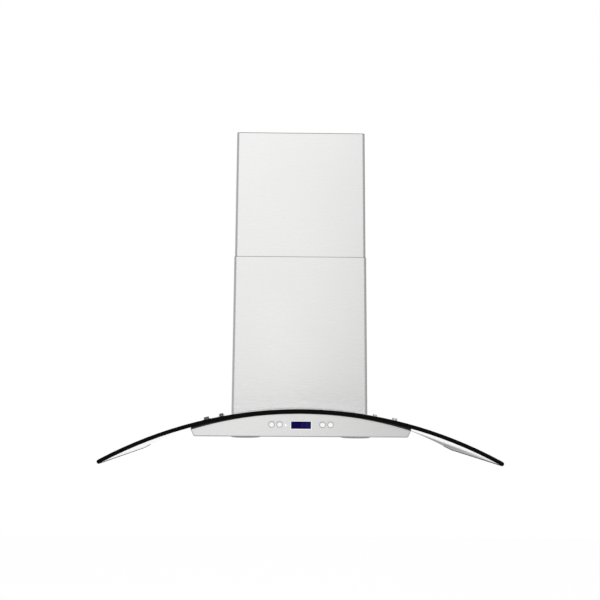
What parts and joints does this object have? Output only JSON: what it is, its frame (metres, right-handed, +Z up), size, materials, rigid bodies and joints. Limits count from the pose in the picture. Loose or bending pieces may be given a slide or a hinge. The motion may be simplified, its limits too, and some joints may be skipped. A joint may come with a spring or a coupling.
{
  "type": "wall mount range hood",
  "caption": "Wall mount range hood with an arched glass canopy, push-button fascia with display, swing-down baffle filters, blower and a telescopic stainless chimney.",
  "frame": {"origin": "on the wall plane, on the hood's centre line, level with the underside of the hood body", "axes": "+X to the right as seen from the front, +Y into the wall, +Z up"},
  "size_m": [0.914, 0.5, 0.8608],
  "materials": {
    "brushed_steel": "fine brushed stainless",
    "canopy_glass": "clear bent glass",
    "black_rubber": "matt",
    "chrome": "polished",
    "filter_steel": "satin stainless",
    "galvanised": "satin zinc grey",
    "black_plastic": "matt",
    "grey_plastic": "matt",
    "white_plastic": "matt",
    "display_navy": "gloss",
    "lamp_lens": "frosted",
    "indicator": "gloss",
    "board_green": "solder mask",
    "aluminium": "satin",
    "motor_grey": "satin"
  },
  "bodies": {
    "hood": {"blower_scroll": "grey_plastic", "button_carrier": "black_plastic", "cable_gland": "black_plastic", "canopy_shell": "brushed_steel", "capacitor": "white_plastic", "capacitor_clip": "galvanised", "chimney_side_brackets": "galvanised", "control_board": "board_green", "damper_axle": "galvanised", "display_bezel": "white_plastic", "display_module": "display_navy", "display_window": "display_navy", "filter_hinge_ears": "galvanised", "front_fascia": "brushed_steel", "glass_bolts": "chrome", "glass_canopy": "canopy_glass", "glass_gasket": "black_rubber", "glass_nuts": "galvanised", "glass_seat_washers": "black_rubber", "inlet_rings": "galvanised", "junction_box": "grey_plastic", "junction_cover": "grey_plastic", "left_lamp_bezel": "chrome", "left_lamp_housing": "aluminium", "left_lamp_lens": "lamp_lens", "lower_chimney": "brushed_steel", "lower_chimney_screws": "chrome", "motor_body": "motor_grey", "motor_box": "galvanised", "motor_bracket": "galvanised", "outlet_collar": "black_plastic", "right_lamp_bezel": "chrome", "right_lamp_housing": "aluminium", "right_lamp_lens": "lamp_lens", "status_led": "indicator", "tact_switches": "black_plastic", "terminal_block": "white_plastic", "underside_frame": "brushed_steel"},
    "upper_duct_cover": {"upper_chimney": "brushed_steel", "chimney_wall_bracket": "galvanised", "upper_chimney_screws": "chrome"},
    "fan_wheel": {"impeller": "grey_plastic", "motor_shaft": "aluminium"},
    "front_damper": {"front_damper_flap": "black_plastic"},
    "rear_damper": {"rear_damper_flap": "black_plastic"},
    "left_filter": {"left_filter_frame": "filter_steel", "left_filter_baffles": "filter_steel"},
    "right_filter": {"right_filter_frame": "filter_steel", "right_filter_baffles": "filter_steel"},
    "left_latch": {"left_filter_latch": "black_plastic"},
    "right_latch": {"right_filter_latch": "black_plastic"},
    "push_button_1": {"button_1": "white_plastic"},
    "push_button_2": {"button_2": "white_plastic"},
    "push_button_3": {"button_3": "white_plastic"},
    "push_button_4": {"button_4": "white_plastic"}
  },
  "joints": [
    {"name": "upper_chimney_slide", "type": "slide", "parent": "hood", "child": "upper_duct_cover", "axis": [0, 0, 1], "range_m": [-0.28, 0.02]},
    {"name": "impeller_spin", "type": "hinge", "parent": "hood", "child": "fan_wheel", "pos_m": [0, -0.105, 0.15], "axis": [1, 0, 0], "continuous": true},
    {"name": "front_damper_hinge", "type": "hinge", "parent": "hood", "child": "front_damper", "pos_m": [0, -0.157, 0.337], "axis": [-1, 0, 0], "range_deg": [0, 75]},
    {"name": "rear_damper_hinge", "type": "hinge", "parent": "hood", "child": "rear_damper", "pos_m": [0, -0.157, 0.337], "axis": [1, 0, 0], "range_deg": [0, 75]},
    {"name": "left_filter_hinge", "type": "hinge", "parent": "hood", "child": "left_filter", "pos_m": [0, -0.0343, 0.0045], "axis": [1, 0, 0], "range_deg": [0, 70]},
    {"name": "right_filter_hinge", "type": "hinge", "parent": "hood", "child": "right_filter", "pos_m": [0, -0.0343, 0.0045], "axis": [1, 0, 0], "range_deg": [0, 70]},
    {"name": "left_latch_slide", "type": "slide", "parent": "left_filter", "child": "left_latch", "axis": [0, 1, 0], "range_m": [0, 0.006], "stiffness_N_per_m": 300},
    {"name": "right_latch_slide", "type": "slide", "parent": "right_filter", "child": "right_latch", "axis": [0, 1, 0], "range_m": [0, 0.006], "stiffness_N_per_m": 300},
    {"name": "button_1_press", "type": "slide", "parent": "hood", "child": "push_button_1", "axis": [0, 1, 0], "range_m": [0, 0.001], "stiffness_N_per_m": 400},
    {"name": "button_2_press", "type": "slide", "parent": "hood", "child": "push_button_2", "axis": [0, 1, 0], "range_m": [0, 0.001], "stiffness_N_per_m": 400},
    {"name": "button_3_press", "type": "slide", "parent": "hood", "child": "push_button_3", "axis": [0, 1, 0], "range_m": [0, 0.001], "stiffness_N_per_m": 400},
    {"name": "button_4_press", "type": "slide", "parent": "hood", "child": "push_button_4", "axis": [0, 1, 0], "range_m": [0, 0.001], "stiffness_N_per_m": 400}
  ]
}
